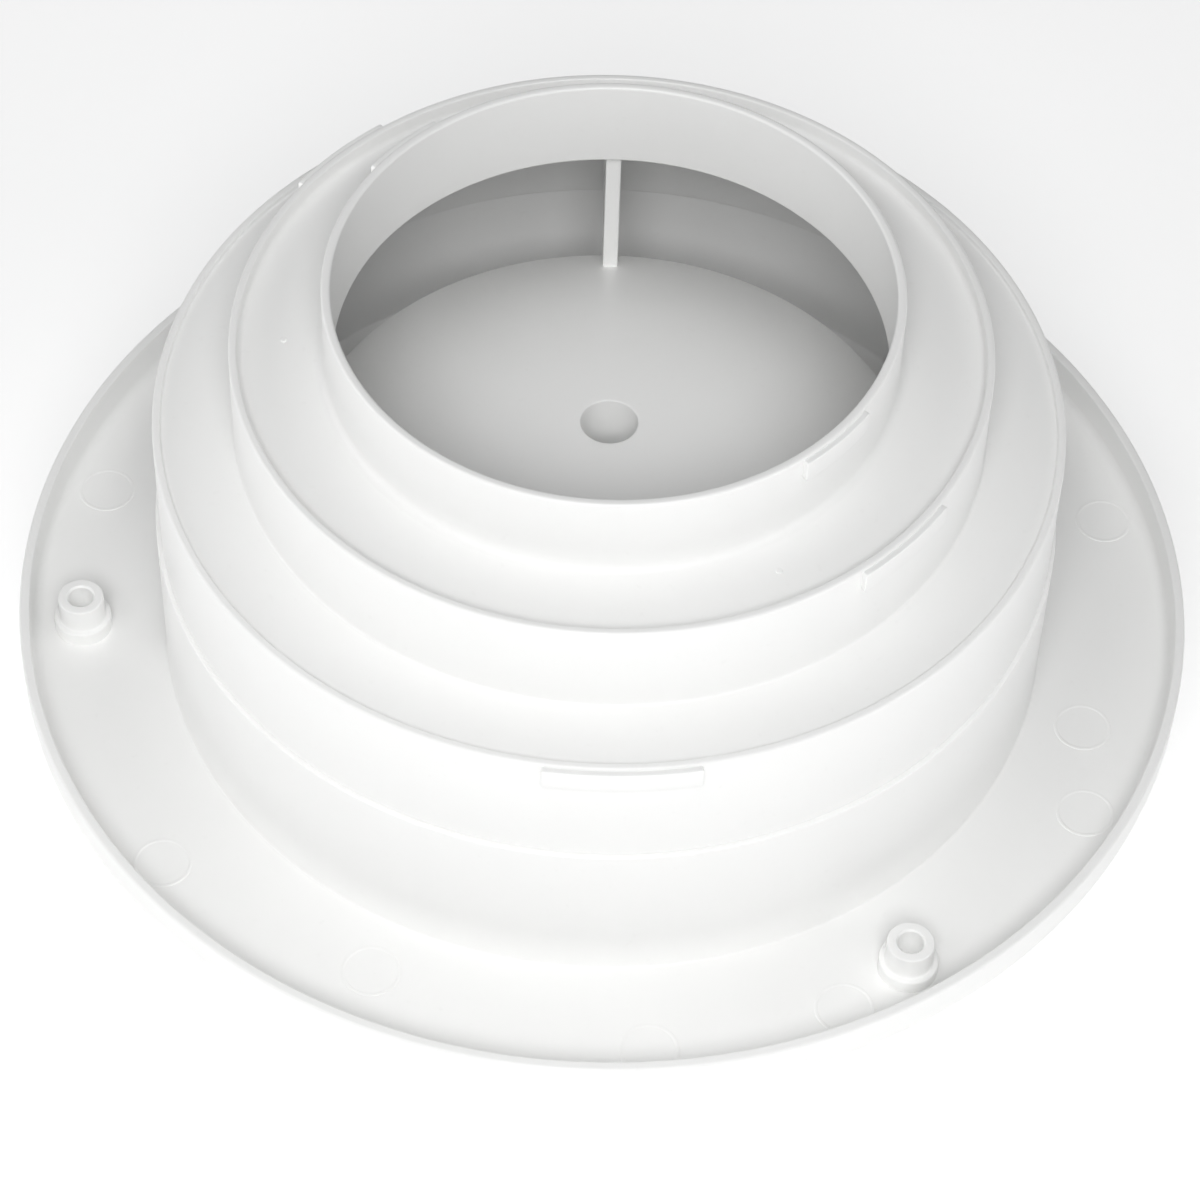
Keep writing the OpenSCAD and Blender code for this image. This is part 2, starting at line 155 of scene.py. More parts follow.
class Finish:
    """A material whose nodes are made one by one on a Principled shader."""

    def __init__(self, name, **constants):
        self.material = bpy.data.materials.new(name)
        self.material.use_nodes = True
        self.tree = self.material.node_tree
        self.shader = self.tree.nodes["Principled BSDF"]
        for socket, value in constants.items():
            self.shader.inputs[socket.replace("_", " ")].default_value = value
        self.place = self.node("ShaderNodeTexCoord", output="Object")

    def node(self, kind, settings=None, values=None, output=0):
        node = self.tree.nodes.new(kind)
        for key, value in (settings or {}).items():
            setattr(node, key, value)
        for key, value in (values or {}).items():
            if isinstance(value, Wire):
                self.tree.links.new(value.socket, node.inputs[key])
            else:
                node.inputs[key].default_value = value
        return Wire(self.tree, node.outputs[output])

    def noise(self, scale, detail=2.0, roughness=0.5, stretch=None):
        place = self.place
        if stretch:
            place = self.node("ShaderNodeMapping", values={"Vector": place, "Scale": stretch})
        return self.node("ShaderNodeTexNoise",
                         values={"Vector": place, "Scale": scale, "Detail": detail, "Roughness": roughness})

    def mix(self, amount, first, second):
        return self.node("ShaderNodeMix", {"data_type": "RGBA"}, {0: amount, 6: first, 7: second}, output=2)

    def bump(self, height, distance, strength=1.0, before=None):
        values = {"Height": height, "Distance": distance, "Strength": strength}
        if before:
            values["Normal"] = before
        return self.node("ShaderNodeBump", values=values)

    def feed(self, socket, wire):
        self.tree.links.new(wire.socket, self.shader.inputs[socket])


def moulded_plastic(name, light, shade, gloss, grain):
    """Satin moulded plastic: faint flow marks, uneven gloss and a fine spark-eroded grain."""
    finish = Finish(name, IOR=1.49)
    flow = finish.noise(14.0, detail=3.0, stretch=(1.0, 1.0, 0.35))
    cloud = finish.noise(60.0, detail=4.0)
    specks = finish.noise(900.0, detail=1.0)
    dust = finish.node("ShaderNodeMapRange", values={"Value": specks, "From Min": 0.70, "From Max": 0.78})
    tone = finish.mix(flow * 0.6 + cloud * 0.4, light, shade)
    finish.feed("Base Color", finish.mix(dust * 0.05, tone, (0.60, 0.59, 0.57, 1)))
    handling = finish.noise(35.0, detail=5.0, roughness=0.65)
    finish.feed("Roughness", gloss + (handling - 0.5) * 0.16 + (specks - 0.5) * 0.06)
    fine = finish.noise(2600.0, detail=2.0)
    ripple = finish.noise(45.0, detail=1.0)
    waves = finish.bump(ripple, 0.00012)
    finish.feed("Normal", finish.bump(fine, grain, before=waves))
    return finish.material


def metal(name, light, dark, roughness, brushing, metallic=1.0):
    """Turned or rolled metal, brushed across its axis, a little tarnished."""
    finish = Finish(name, Metallic=metallic)
    brushed = finish.noise(420.0, detail=3.0, stretch=brushing)
    tarnish = finish.noise(240.0, detail=4.0)
    finish.feed("Base Color", finish.mix(tarnish * 0.6 + brushed * 0.3, light, dark))
    finish.feed("Roughness", roughness + brushed * 0.14 + tarnish * 0.08)
    finish.feed("Normal", finish.bump(brushed, 0.00002, 0.7))
    return finish.material


def make_finishes():
    return {
        "white_abs": moulded_plastic("white_abs", (0.95, 0.95, 0.94, 1), (0.935, 0.936, 0.928, 1),
                                     0.36, 0.000006),
        "guard_abs": moulded_plastic("guard_abs", (0.905, 0.908, 0.900, 1), (0.88, 0.885, 0.88, 1),
                                     0.42, 0.000010),
        "acetal": moulded_plastic("acetal", (0.80, 0.81, 0.79, 1), (0.76, 0.77, 0.755, 1), 0.30, 0.000004),
        "stainless": metal("stainless", (0.72, 0.73, 0.74, 1), (0.55, 0.56, 0.58, 1), 0.20, (1, 1, 12)),
        "mesh_steel": metal("mesh_steel", (0.60, 0.61, 0.62, 1), (0.42, 0.43, 0.45, 1), 0.32, (6, 6, 1)),
        "brass": metal("brass", (0.80, 0.60, 0.27, 1), (0.60, 0.42, 0.17, 1), 0.26, (1, 1, 12)),
    }


# ---------------------------------------------------------------- shapes

def softened(corners, steps=5):
    """Closed outline from corners (r, z) or (r, z, radius), each rounded to its radius."""
    outline = []
    count = len(corners)
    for i, corner in enumerate(corners):
        here = Vector(corner[:2])
        radius = corner[2] if len(corner) > 2 else 0
        before = Vector(corners[i - 1][:2]) - here
        after = Vector(corners[(i + 1) % count][:2]) - here
        if radius <= 0 or before.length < 1e-6 or after.length < 1e-6:
            outline.append(tuple(here))
            continue
        half = before.angle(after) / 2
        if half > math.radians(89.5):
            outline.append(tuple(here))
            continue
        reach = min(radius / math.tan(half), 0.49 * before.length, 0.49 * after.length)
        radius = reach * math.tan(half)
        middle = here + (before.normalized() + after.normalized()).normalized() * (radius / math.sin(half))
        start = here + before.normalized() * reach - middle
        end = here + after.normalized() * reach - middle
        sweep = math.atan2(start.x * end.y - start.y * end.x, start.dot(end))
        pieces = max(steps, int(abs(sweep) * radius / 0.6) + 1)
        for k in range(pieces + 1):
            turn = sweep * k / pieces
            outline.append((middle.x + start.x * math.cos(turn) - start.y * math.sin(turn),
                            middle.y + start.x * math.sin(turn) + start.y * math.cos(turn)))
    return outline


def arc(centre_r, centre_z, radius, start, end, steps):
    return [(centre_r + radius * math.cos(math.radians(start + (end - start) * i / steps)),
             centre_z + radius * math.sin(math.radians(start + (end - start) * i / steps)))
            for i in range(steps + 1)]


def turned(outline, segments=256, place=(0, 0)):
    """Ring or solid turned about an upright axis from a closed outline of (r, z)."""
    points, rings = [], []
    for r, z in outline:
        if r < 1e-7:
            rings.append([len(points)] * segments)
            points.append((place[0], place[1], z))
        else:
            rings.append(list(range(len(points), len(points) + segments)))
            for k in range(segments):
                angle = 2 * math.pi * k / segments
                points.append((place[0] + r * math.cos(angle), place[1] + r * math.sin(angle), z))
    faces = []
    for i, low in enumerate(rings):
        high = rings[(i + 1) % len(rings)]
        if low[0] == low[1] and high[0] == high[1]:
            continue
        for k in range(segments):
            n = (k + 1) % segments
            corner = []
            for index in (low[k], low[n], high[n], high[k]):
                if index not in corner:
                    corner.append(index)
            faces.append(corner)
    return points, faces


def lofted(sections, closed_ends=True):
    """Skin over a row of outlines that have the same number of points."""
    points = [point for section in sections for point in section]
    size = len(sections[0])
    faces = []
    for s in range(len(sections) - 1):
        for k in range(size):
            n = (k + 1) % size
            faces.append([s * size + k, s * size + n, (s + 1) * size + n, (s + 1) * size + k])
    if closed_ends:
        faces.append(list(range(size))[::-1])
        faces.append([(len(sections) - 1) * size + k for k in range(size)])
    return points, faces


def swept_block(outline, start, end, end_round=0.25):
    """Pad on a round wall: an (r, z) outline carried round the axis, with eased ends."""
    middle_r = sum(p[0] for p in outline) / len(outline)
    middle_z = sum(p[1] for p in outline) / len(outline)
    ease = math.degrees(end_round / middle_r)
    stations = [(start + ease * (1 - math.cos(math.pi / 2 * i / 4)),
                 0.75 + 0.25 * math.sin(math.pi / 2 * i / 4)) for i in range(5)]
    steps = max(6, int((end - start) / 1.5))
    inner = [(start + ease + (end - start - 2 * ease) * i / steps, 1.0) for i in range(1, steps)]
    tail = [(start + end - angle, grow) for angle, grow in reversed(stations)]
    sections = []
    for angle, grow in stations + inner + tail:
        turn = math.radians(angle)
        section = []
        for r, z in outline:
            r = middle_r + (r - middle_r) * grow
            z = middle_z + (z - middle_z) * grow
            section.append((r * math.cos(turn), r * math.sin(turn), z))
        sections.append(section)
    return lofted(sections)


def make_piece(name, shells, finish, recalculate=True):
    """One mesh object from shells in millimetres, with smooth shading kept off its sharp edges."""
    mesh = bpy.data.meshes.new(name)
    points, faces = [], []
    for shell_points, shell_faces in shells:
        shift = len(points)
        points += [tuple(c * MM for c in point) for point in shell_points]
        faces += [[index + shift for index in face] for face in shell_faces]
    mesh.from_pydata(points, [], faces)
    if recalculate:
        work = bmesh.new()
        work.from_mesh(mesh)
        bmesh.ops.remove_doubles(work, verts=work.verts, dist=1e-8)
        bmesh.ops.recalc_face_normals(work, faces=work.faces)
        work.to_mesh(mesh)
        work.free()
    mesh.shade_smooth()
    mesh.set_sharp_from_angle(angle=math.radians(SHARP_ANGLE))
    mesh.materials.append(finish)
    piece = bpy.data.objects.new(name, mesh)
    bpy.context.scene.collection.objects.link(piece)
    return piece


def join(name, pieces, finish):
    """One mesh from several; the parts it was made from are removed."""
    shells = []
    for piece in pieces:
        shells.append(([tuple(c / MM for c in v.co) for v in piece.data.vertices],
                       [list(f.vertices) for f in piece.data.polygons]))
        bpy.data.objects.remove(piece)
    return make_piece(name, shells, finish, recalculate=False)


def cut(piece, tools, operation="DIFFERENCE"):
    """Cuts tools from a piece, or joins them to it, as a plain mesh."""
    for tool in tools:
        step = piece.modifiers.new("cut", "BOOLEAN")
        step.operation = operation
        step.solver = "EXACT"
        step.object = tool
    graph = bpy.context.evaluated_depsgraph_get()
    mesh = bpy.data.meshes.new_from_object(piece.evaluated_get(graph))
    piece.modifiers.clear()
    piece.data = mesh
    for tool in tools:
        bpy.data.objects.remove(tool)
    mesh.shade_smooth()
    mesh.set_sharp_from_angle(angle=math.radians(SHARP_ANGLE))
    return piece


# ---------------------------------------------------------------- what repeats

def repeat_tree():
    """Copies of one item in a row or round the upright axis."""
    tree = bpy.data.node_groups.new("repeat_item", "GeometryNodeTree")
    face = tree.interface
    face.new_socket("Geometry", in_out="INPUT", socket_type="NodeSocketGeometry")
    for name, kind in (("Item", "NodeSocketObject"), ("Count", "NodeSocketInt"),
                       ("First angle", "NodeSocketFloat"), ("Angle step", "NodeSocketFloat"),
                       ("First place", "NodeSocketVector"), ("Place step", "NodeSocketVector"),
                       ("Material", "NodeSocketMaterial")):
        face.new_socket(name, in_out="INPUT", socket_type=kind)
    face.new_socket("Geometry", in_out="OUTPUT", socket_type="NodeSocketGeometry")
    new, link = tree.nodes.new, tree.links.new
    given, result = new("NodeGroupInput"), new("NodeGroupOutput")
    index = new("GeometryNodeInputIndex")
    points = new("GeometryNodePoints")
    link(given.outputs["Count"], points.inputs["Count"])
    stride = new("ShaderNodeVectorMath")
    stride.operation = "SCALE"
    link(given.outputs["Place step"], stride.inputs[0])
    link(index.outputs[0], stride.inputs["Scale"])
    place = new("ShaderNodeVectorMath")
    place.operation = "ADD"
    link(given.outputs["First place"], place.inputs[0])
    link(stride.outputs[0], place.inputs[1])
    link(place.outputs[0], points.inputs["Position"])
    turn = new("ShaderNodeMath")
    turn.operation = "MULTIPLY_ADD"
    link(index.outputs[0], turn.inputs[0])
    link(given.outputs["Angle step"], turn.inputs[1])
    link(given.outputs["First angle"], turn.inputs[2])
    upright = new("ShaderNodeCombineXYZ")
    link(turn.outputs[0], upright.inputs["Z"])
    item = new("GeometryNodeObjectInfo")
    link(given.outputs["Item"], item.inputs["Object"])
    copies = new("GeometryNodeInstanceOnPoints")
    link(points.outputs[0], copies.inputs["Points"])
    link(item.outputs["Geometry"], copies.inputs["Instance"])
    link(upright.outputs[0], copies.inputs["Rotation"])
    solid = new("GeometryNodeRealizeInstances")
    link(copies.outputs[0], solid.inputs[0])
    finish = new("GeometryNodeSetMaterial")
    link(solid.outputs[0], finish.inputs["Geometry"])
    link(given.outputs["Material"], finish.inputs["Material"])
    link(finish.outputs[0], result.inputs[0])
    return tree


def wire_tree():
    """Round wire along every edge path of the piece."""
    tree = bpy.data.node_groups.new("wire_cloth", "GeometryNodeTree")
    face = tree.interface
    face.new_socket("Geometry", in_out="INPUT", socket_type="NodeSocketGeometry")
    face.new_socket("Wire radius", in_out="INPUT", socket_type="NodeSocketFloat")
    face.new_socket("Material", in_out="INPUT", socket_type="NodeSocketMaterial")
    face.new_socket("Geometry", in_out="OUTPUT", socket_type="NodeSocketGeometry")
    new, link = tree.nodes.new, tree.links.new
    given, result = new("NodeGroupInput"), new("NodeGroupOutput")
    path = new("GeometryNodeMeshToCurve")
    link(given.outputs["Geometry"], path.inputs["Mesh"])
    section = new("GeometryNodeCurvePrimitiveCircle")
    section.inputs["Resolution"].default_value = 5
    link(given.outputs["Wire radius"], section.inputs["Radius"])
    tube = new("GeometryNodeCurveToMesh")
    tube.inputs["Fill Caps"].default_value = True
    link(path.outputs[0], tube.inputs["Curve"])
    link(section.outputs[0], tube.inputs["Profile Curve"])
    solid = new("GeometryNodeRealizeInstances")
    link(tube.outputs[0], solid.inputs[0])
    finish = new("GeometryNodeSetMaterial")
    link(solid.outputs[0], finish.inputs["Geometry"])
    link(given.outputs["Material"], finish.inputs["Material"])
    link(finish.outputs[0], result.inputs[0])
    return tree


def grown(piece, tree, finish, **inputs):
    """Runs a tree on a piece with its inputs set, and keeps the plain mesh."""
    step = piece.modifiers.new("grow", "NODES")
    step.node_group = tree
    inputs["Material"] = finish
    for socket in tree.interface.items_tree:
        key = socket.name.replace(" ", "_")
        if socket.in_out == "INPUT" and key in inputs:
            step[socket.identifier] = inputs[key]
    graph = bpy.context.evaluated_depsgraph_get()
    mesh = bpy.data.meshes.new_from_object(piece.evaluated_get(graph))
    piece.modifiers.clear()
    piece.data = mesh
    mesh.shade_smooth()
    mesh.set_sharp_from_angle(angle=math.radians(SHARP_ANGLE))
    return piece


def repeated(name, item, finish, count, first_angle=0.0, angle_step=0.0,
             first_place=(0, 0, 0), place_step=(0, 0, 0)):
    """Copies of an item, made by the repeat tree; the item itself is removed."""
    holder = bpy.data.objects.new(name, bpy.data.meshes.new(name))
    bpy.context.scene.collection.objects.link(holder)
    grown(holder, REPEAT, finish, Item=item, Count=count,
          First_angle=math.radians(first_angle), Angle_step=math.radians(angle_step),
          First_place=[c * MM for c in first_place], Place_step=[c * MM for c in place_step])
    bpy.data.objects.remove(item)
    return holder


# ---------------------------------------------------------------- sizes, in millimetres

def box_mm(node):
    low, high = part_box(node)
    return low / MM, high / MM


def mount(name):
    return next(m for m in frame["record"]["mounts"] if m["name"] == name)


small_r = mount("small_hose_spigot")["dims"]["r_mm"]
large_r = mount("large_hose_spigot")["dims"]["r_mm"]
barrel_r = mount("deck_barrel")["dims"]["r_mm"]
neck_bore_r = mount("neck_bore")["dims"]["r_mm"]
spacer_circle_r = mount("deck_screws")["dims"]["pcd_mm"] / 2
screw_hole_r = mount("deck_screws")["dims"]["hole_r_mm"]

top_z = box_mm("stepped_neck")[1].z
large_z = top_z - 10.0
shoulder_z = large_z - 13.4
seam_z = box_mm("stepped_neck")[0].z - 0.05
face_z = box_mm("deck_base")[0].z + 5.0
under_z = face_z + 2.2
rim_z = mount("deck_rim")["pos_m"][2] / MM
flange_r = box_mm("deck_base")[1].x
shoulder_r = 61.3
barrel_wall = 2.0
bore_r = barrel_r - barrel_wall
inner_r = shoulder_r - barrel_wall
collar_r = barrel_r - 0.8
collar_h = 5
seat_gap = 0.05
screen_screw_circle_r = bore_r - 2.2
screen_screw_angles = (30, 150, 270)
screw_head_r = 3.5
washer_bore_r = 1.9
spigot_lug_angles = (139, 319)
shoulder_lug_angles = (93, 273)
lug_out, lug_h, lug_drop = 0.8, 3.2, 0.4
lip_w = 1.1
ledge_wall = 1.4
large_ledge_z = large_z - 2.3
shoulder_ledge_z = shoulder_z - 0.8
tongue_h, tongue_t = 2.4, 0.8
baffle_r = box_mm("weather_baffle")[1].x
crown_z = box_mm("weather_baffle")[1].z
baffle_rise = 11.8
edge_z = crown_z - baffle_rise
dome_r = (baffle_r ** 2 + baffle_rise ** 2) / (2 * baffle_rise)
dome_centre_z = crown_z - dome_r
baffle_t = 1.6
boss_z = box_mm("weather_baffle")[0].z
cowl_r = 66.0
cowl_wall = 2.0
mouth_reach = box_mm("cowl_hood")[1].y
skirt_z = face_z - 1.05
post_z = boss_z - 0.35


# ---------------------------------------------------------------- neck

def lug(r, z, angle, width, out, height):
    """Pad that stands out of a wall just under its rim."""
    root = 0.6
    outline = softened([(r - root, z - height), (r + out, z - height, 0.22),
                        (r + out, z, 0.22), (r - root, z)])
    return swept_block(outline, angle - width / 2, angle + width / 2)


def fin_plate(finish):
    """Upright fin on the +X side, from under the ledges down to the baffle and out to the wall."""
    thickness, inner = 2.1, baffle_r - 4.9
    half = thickness / 2
    slot_r = dome_r - 0.6
    lower_angle = math.degrees(math.acos(baffle_r / slot_r))
    inner_angle = math.degrees(math.acos(inner / slot_r))
    foot = arc(0, dome_centre_z, slot_r, inner_angle, lower_angle, 6)
    outline = ([(inner, large_ledge_z - ledge_wall / 2),
                (large_r - ledge_wall / 2, large_ledge_z - ledge_wall / 2),
                (large_r - ledge_wall / 2, shoulder_ledge_z - ledge_wall / 2),
                (shoulder_r - barrel_wall / 2, shoulder_ledge_z - ledge_wall / 2),
                (shoulder_r - barrel_wall / 2, seam_z + tongue_h + 1),
                (shoulder_r - barrel_wall - 2, seam_z + tongue_h + 1),
                (baffle_r + 3, edge_z - 2.4), (baffle_r + 0.05, edge_z - 2.4)] + foot[::-1])
    edge = 0.3
    middle = Vector((baffle_r + 2, edge_z + 8))
    sections = []
    for y, inset in ((-half, edge), (-half + edge * 0.3, edge * 0.3), (-half + edge, 0),
                     (half - edge, 0), (half - edge * 0.3, edge * 0.3), (half, edge)):
        section = []
        for r, z in outline:
            away = (Vector((r, z)) - middle).normalized() * inset
            section.append((r - away.x, y, z - away.y))
        sections.append(section)
    return make_piece("fin", [lofted(sections)], finish)


def make_neck(finish):
    groove_outer_r = bore_r + tongue_t + seat_gap
    groove_inner_r = bore_r - seat_gap
    foot_z = seam_z + seat_gap
    groove_top_z = seam_z + tongue_h + 2 * seat_gap
    outline = softened([
        (groove_outer_r, foot_z), (shoulder_r, foot_z, 0.25),
        (shoulder_r, shoulder_z, 0.45), (shoulder_r - lip_w, shoulder_z, 0.3),
        (shoulder_r - lip_w, shoulder_ledge_z, 0.35), (large_r, shoulder_ledge_z, 0.35),
        (large_r, large_z, 0.45), (large_r - lip_w, large_z, 0.3),
        (large_r - lip_w, large_ledge_z, 0.7), (small_r, large_ledge_z, 1.3),
        (small_r, top_z, 0.42), (neck_bore_r, top_z, 0.42),
        (neck_bore_r, large_ledge_z - ledge_wall, 0.5),
        (large_r - ledge_wall, large_ledge_z - ledge_wall, 0.8),
        (large_r - ledge_wall, shoulder_ledge_z - ledge_wall, 0.5),
        (inner_r, shoulder_ledge_z - ledge_wall, 0.8),
        (inner_r, foot_z, 0.25), (groove_inner_r, foot_z),
        (groove_inner_r, groove_top_z), (groove_outer_r, groove_top_z, 0.1),
    ])
    body = make_piece("neck_body", [turned(outline, 320)], finish)
    lugs = []
    for angle in spigot_lug_angles:
        lugs.append(lug(small_r, top_z - lug_drop, angle, 18, lug_out, lug_h))
        lugs.append(lug(large_r, large_z - lug_drop, angle, 18, lug_out, lug_h))
    for angle in shoulder_lug_angles:
        lugs.append(lug(shoulder_r, shoulder_z - lug_drop, angle, 19, lug_out, lug_h))
    pads = make_piece("lugs", lugs, finish)
    fins = repeated("fins", fin_plate(finish), finish, 3, first_angle=91, angle_step=120)
    pip_r, pip_h = 0.45, 0.16
    pip_outline = softened([(0, -0.2), (pip_r, -0.2), (pip_r, pip_h, 0.12), (0, pip_h)])
    pip = make_piece("pip", [turned(pip_outline, 24)], finish)
    pips = repeated("gate_pips", pip, finish, 3, first_place=(0, 0, large_ledge_z))
    for k, point in enumerate(pips.data.vertices):
        angle = math.radians((180.6, 60.6, 300.6)[k * 3 // len(pips.data.vertices)])
        point.co += Vector((43.37 * MM * math.cos(angle), 43.37 * MM * math.sin(angle), 0))
    return cut(body, [pads, fins, pips], "UNION")


# ---------------------------------------------------------------- deck base

def make_base(finish):
    rim_inner_r = flange_r - 1.4
    ledge_r = bore_r - 4.0
    ledge_low, ledge_high = under_z + 4.0, under_z + 6.0
    outline = softened([
        (bore_r, face_z - collar_h, 0.3), (collar_r, face_z - collar_h, 0.3), (collar_r, face_z, 0.2),
        (flange_r, face_z, 5.0), (flange_r, rim_z, 0.45), (rim_inner_r, rim_z, 0.3),
        (rim_inner_r, under_z, 1.5), (barrel_r, under_z, 0.3),
        (barrel_r, seam_z, 0.25), (bore_r + tongue_t, seam_z, 0.1),
        (bore_r + tongue_t, seam_z + tongue_h, 0.2), (bore_r, seam_z + tongue_h, 0.2),
        (bore_r, ledge_high, 0.4), (ledge_r, ledge_high, 0.3),
        (ledge_r, ledge_low, 0.3), (bore_r, ledge_low, 0.3),
    ], steps=6)
    body = make_piece("base_body", [turned(outline, 320)], finish)

    spacer_r, foot_r, foot_h = 3.2, 4.0, 2.2
    spacer_outline = softened([
        (0, under_z - 0.3), (foot_r, under_z - 0.3), (foot_r, under_z + foot_h, 0.3),
        (spacer_r, under_z + foot_h, 0.3), (spacer_r, rim_z, 0.25), (0, rim_z)])
    spacer = make_piece("spacer", [turned(spacer_outline, 64, (spacer_circle_r, 0))], finish)
    spacers = repeated("spacers", spacer, finish, 3, first_angle=65, angle_step=120)

    # witness marks of the ejector pins, round the flange close to its rim
    mark_r, mark_h = 4.0, 0.08
    mark_outline = softened([(0, under_z - 0.3), (mark_r, under_z - 0.3), (mark_r, under_z + mark_h, 0.05),
                             (mark_r - 0.3, under_z + mark_h, 0.05), (mark_r - 0.5, under_z + 0.02, 0.1),
                             (0, under_z + 0.02)])
    marks = []
    for angle, place_r, count in ((-140.8, 75.0, 1), (-83.8, 75.0, 2), (-63.3, 75.0, 1), (-26.5, 75.0, 2),
                                  (33.5, 75.0, 3), (-114.4, 70.0, 2)):
        mark = make_piece("mark", [turned(mark_outline, 48, (place_r, 0))], finish)
        marks.append(repeated("marks", mark, finish, count, first_angle=angle, angle_step=180 / count * 1.1))
    cut(body, [spacers] + marks, "UNION")

    tools = []
    for k in range(3):
        turn = math.radians(65 + 120 * k)
        place = (spacer_circle_r * math.cos(turn), spacer_circle_r * math.sin(turn))
        hole = softened([(0, face_z - 1), (3.6, face_z - 1), (3.6, face_z), (screw_hole_r, face_z + 2),
                         (screw_hole_r, rim_z - 0.25), (screw_hole_r + 0.3, rim_z + 0.05),
                         (screw_hole_r + 0.3, rim_z + 1), (0, rim_z + 1)])
        tools.append(make_piece("hole", [turned(hole, 48, place)], finish))
    for angle in screen_screw_angles:
        turn = math.radians(angle)
        place = (screen_screw_circle_r * math.cos(turn), screen_screw_circle_r * math.sin(turn))
        hole = [(0, ledge_low - 1), (1.15, ledge_low - 1), (1.15, ledge_high + 1), (0, ledge_high + 1)]
        tools.append(make_piece("hole", [turned(hole, 24, place)], finish))
    return cut(body, tools)


# ---------------------------------------------------------------- weather baffle

def make_baffle(finish):
    edge_angle = math.degrees(math.acos(baffle_r / dome_r))
    inner_edge = math.degrees(math.acos((baffle_r - baffle_t) / (dome_r - baffle_t)))
    head_seat_z = boss_z + 18
    bore, pilot, boss_r = 3.85, 1.83, 6.5
    hole_angle = math.degrees(math.acos((bore + 0.35) / dome_r))
    top = arc(0, dome_centre_z, dome_r, edge_angle, hole_angle, 60)
    below_angle = math.degrees(math.acos((boss_r + 1.5) / (dome_r - baffle_t)))
    below = arc(0, dome_centre_z, dome_r - baffle_t, below_angle, inner_edge, 40)
    outline = ([(baffle_r, edge_z - 2)]
               + softened([(baffle_r, edge_z - 1), (baffle_r, edge_z, 0.4), top[1]])[1:-1]
               + top[1:]
               + softened([top[-1], (bore, top[-1][1] - 0.02, 0.3), (bore, head_seat_z)])[1:-1]
               + [(bore, head_seat_z), (pilot, head_seat_z), (pilot, boss_z), (boss_r, boss_z)]
               + softened([(boss_r, boss_z + 5), (boss_r, below[0][1] - 0.2, 1.4), below[0]])[1:-1]
               + below + [(baffle_r - baffle_t, edge_z - 2)])
    return make_piece("baffle_body", [turned(outline, 256)], finish)


# ---------------------------------------------------------------- cowl and mouth guard

def arch(width, height, corner, low, y, grow=0.0, steps=10):
    """Outline of the mouth at distance y: square towards the flange, rounded towards the crown."""
    half = width / 2 + grow
    corner = corner + grow
    bottom, top = low - min(grow, 0.0), low + height + grow
    points = [(-half, y, top)]
    for side, start in ((-1, 180), (1, 270)):
        for i in range(steps + 1):
            angle = math.radians(start + 90 * i / steps)
            points.append((side * (half - corner) + corner * math.cos(angle), y,
                           bottom + corner + corner * math.sin(angle)))
    points.append((half, y, top))
    return points


def make_cowl(finish):
    mouth_w, mouth_h, mouth_corner = 84.0, 20.0, 10.0
    bead, bead_w = 1.4, 3.0
    start = 10.0
    crown_corner = 24.0
    outer_w, outer_h = mouth_w + 2 * cowl_wall, mouth_h + 2 * cowl_wall
    outer_corner = mouth_corner + cowl_wall

    shell = make_piece("cowl_shell", [turned(softened(
        [(0, 0), (cowl_r, 0, crown_corner), (cowl_r, skirt_z, 0.5), (0, skirt_z)], steps=6), 256)], finish)
    reach, back = mouth_reach, mouth_reach - bead_w
    outside = [(start, 0.0), (back - 1.2, 0.0), (back - 0.5, 0.1), (back - 0.1, 0.45),
               (back + 0.3, bead - 0.35), (back + 0.65, bead - 0.05), (reach - 0.9, bead),
               (reach - 0.4, bead - 0.15),
               (reach - 0.12, bead - 0.5), (reach, bead - 0.9)]
    tunnel = make_piece("tunnel", [lofted([arch(outer_w, outer_h, outer_corner, 0.0, y, grow)
                                           for y, grow in outside])], finish)
    cut(shell, [tunnel], "UNION")
    hollow = make_piece("hollow", [turned(softened(
        [(0, cowl_wall), (cowl_r - cowl_wall, cowl_wall, crown_corner - cowl_wall),
         (cowl_r - cowl_wall, skirt_z + 3), (0, skirt_z + 3)], steps=6), 256)], finish)
    inside = [(start, 0.0), (reach - 0.8, 0.0), (reach - 0.3, 0.15), (reach + 0.02, 0.5), (reach + 2, 0.5)]
    duct = make_piece("duct", [lofted([arch(mouth_w, mouth_h, mouth_corner, cowl_wall, y, grow)
                                       for y, grow in inside])], finish)
    cut(shell, [hollow, duct])

    post_r, insert_r, insert_h = 6.0, 3.15, 8.0
    post_outline = softened([
        (0, 0.6), (post_r + 2.5, 0.6), (post_r + 2.5, cowl_wall - 0.02), (post_r, cowl_wall + 0.3, 1.5),
        (post_r, post_z, 0.4), (insert_r, post_z, 0.15), (insert_r, post_z - insert_h - 0.05),
        (2.15, post_z - insert_h - 0.05), (2.15, post_z - insert_h - 3), (0, post_z - insert_h - 3)])
    post = make_piece("post", [turned(post_outline, 96)], finish)
    web_t, web_reach, web_h = 1.6, 22.0, 9.0
    half = web_t / 2
    web_sections = []
    for y, inset in ((-half, 0.25), (-half + 0.25, 0.0), (half - 0.25, 0.0), (half, 0.25)):
        web_sections.append([(post_r - 1, y, 1.0), (web_reach - inset, y, 1.0),
                             (web_reach - inset, y, 1.0 + web_h - 2.0 - inset),
                             (web_reach - 2.0 - inset * 0.4, y, 1.0 + web_h - inset),
                             (post_r - 1, y, 1.0 + web_h - inset)])
    web = make_piece("web", [lofted(web_sections)], finish)
    webs = repeated("webs", web, finish, 4, first_angle=45, angle_step=90)
    return cut(shell, [post, webs], "UNION")


